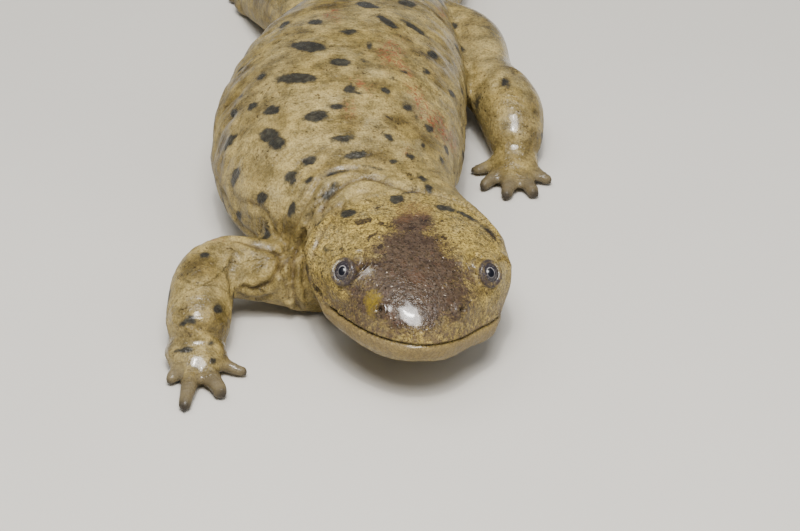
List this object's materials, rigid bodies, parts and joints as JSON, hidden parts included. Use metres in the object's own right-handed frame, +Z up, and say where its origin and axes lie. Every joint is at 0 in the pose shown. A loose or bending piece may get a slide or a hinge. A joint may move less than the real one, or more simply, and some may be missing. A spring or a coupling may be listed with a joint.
{
  "type": "tiger salamander",
  "caption": "Life-size still model of a stout spotted salamander resting on its belly, head raised, one arm forward, long flattened tail behind.",
  "frame": {"origin": "on the floor plane under the middle of the belly", "axes": "+Z up, the snout towards -Y and the tail towards +Y, the animal's left side at +X"},
  "size_m": [0.0542, 0.182, 0.0246],
  "materials": {
    "skin": "moist, glossy, olive with dark spots",
    "eye": "wet, polished"
  },
  "bodies": {
    "root": {"head": "skin", "lower_jaw": "skin", "neck_shoulders": "skin", "torso_front": "skin", "torso_middle": "skin", "torso_rear": "skin", "tail_base": "skin", "tail_middle": "skin", "tail_tip": "skin", "right_upper_arm": "skin", "right_forearm": "skin", "right_hand": "skin", "left_upper_arm": "skin", "left_forearm": "skin", "left_hand": "skin", "left_thigh": "skin", "left_shin": "skin", "left_foot": "skin", "right_thigh": "skin", "right_shin": "skin", "right_foot": "skin", "right_eye": "eye", "left_eye": "eye"}
  },
  "joints": []
}
